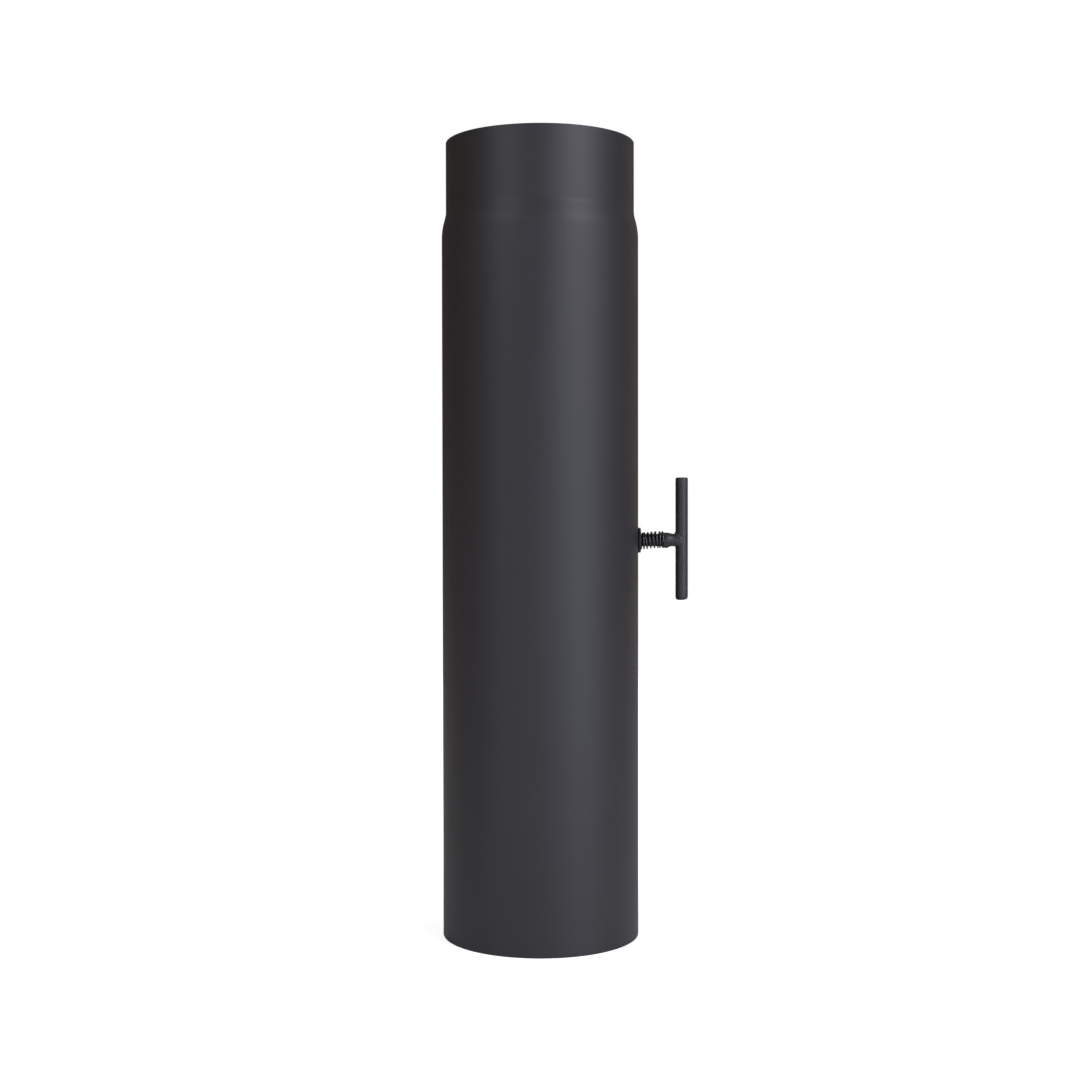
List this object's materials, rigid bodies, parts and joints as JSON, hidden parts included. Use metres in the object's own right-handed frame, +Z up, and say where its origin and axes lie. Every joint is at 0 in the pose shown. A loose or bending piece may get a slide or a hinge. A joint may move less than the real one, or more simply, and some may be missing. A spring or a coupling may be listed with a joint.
{
  "type": "stove pipe damper",
  "caption": "Straight length of black stove pipe, drawn in at its upper end, with a round damper blade on a cross spindle that is turned by a spring-loaded T-handle.",
  "frame": {"origin": "centre of the lower rim, in the plane that the pipe stands on", "axes": "+Z up along the pipe, the way the smoke goes, towards the drawn-in spigot; +X along the damper's spindle, out through the handle; +Y completes the frame, away from the viewer"},
  "size_m": [0.1557, 0.124, 0.5],
  "materials": {
    "pipe_paint": "matte",
    "handle_paint": "matte",
    "spring_paint": "satin",
    "blade_steel": "matte",
    "fastener_steel": "satin"
  },
  "bodies": {
    "pipe": {"pipe": "pipe_paint", "friction_washer": "handle_paint"},
    "spring": {"handle_spring": "spring_paint"},
    "spindle": {"spindle": "handle_paint", "crossbar": "handle_paint", "stop_collar": "handle_paint", "stop_weld": "handle_paint", "handle_weld": "handle_paint", "damper_blade": "blade_steel", "blade_bolt_1": "fastener_steel", "bolt_washer_1": "fastener_steel", "lock_washer_1": "fastener_steel", "blade_nut_1": "fastener_steel", "blade_bolt_2": "fastener_steel", "bolt_washer_2": "fastener_steel", "lock_washer_2": "fastener_steel", "blade_nut_2": "fastener_steel"}
  },
  "joints": [
    {"name": "damper_turn", "type": "hinge", "parent": "pipe", "child": "spring", "pos_m": [0.062, 0, 0.25], "axis": [1, 0, 0], "continuous": true},
    {"name": "spindle_push", "type": "slide", "parent": "spring", "child": "spindle", "axis": [1, 0, 0], "range_m": [-0.003, 0], "stiffness_N_per_m": 2000, "springref_m": 0.0076, "deforming": ["handle_spring"]}
  ]
}
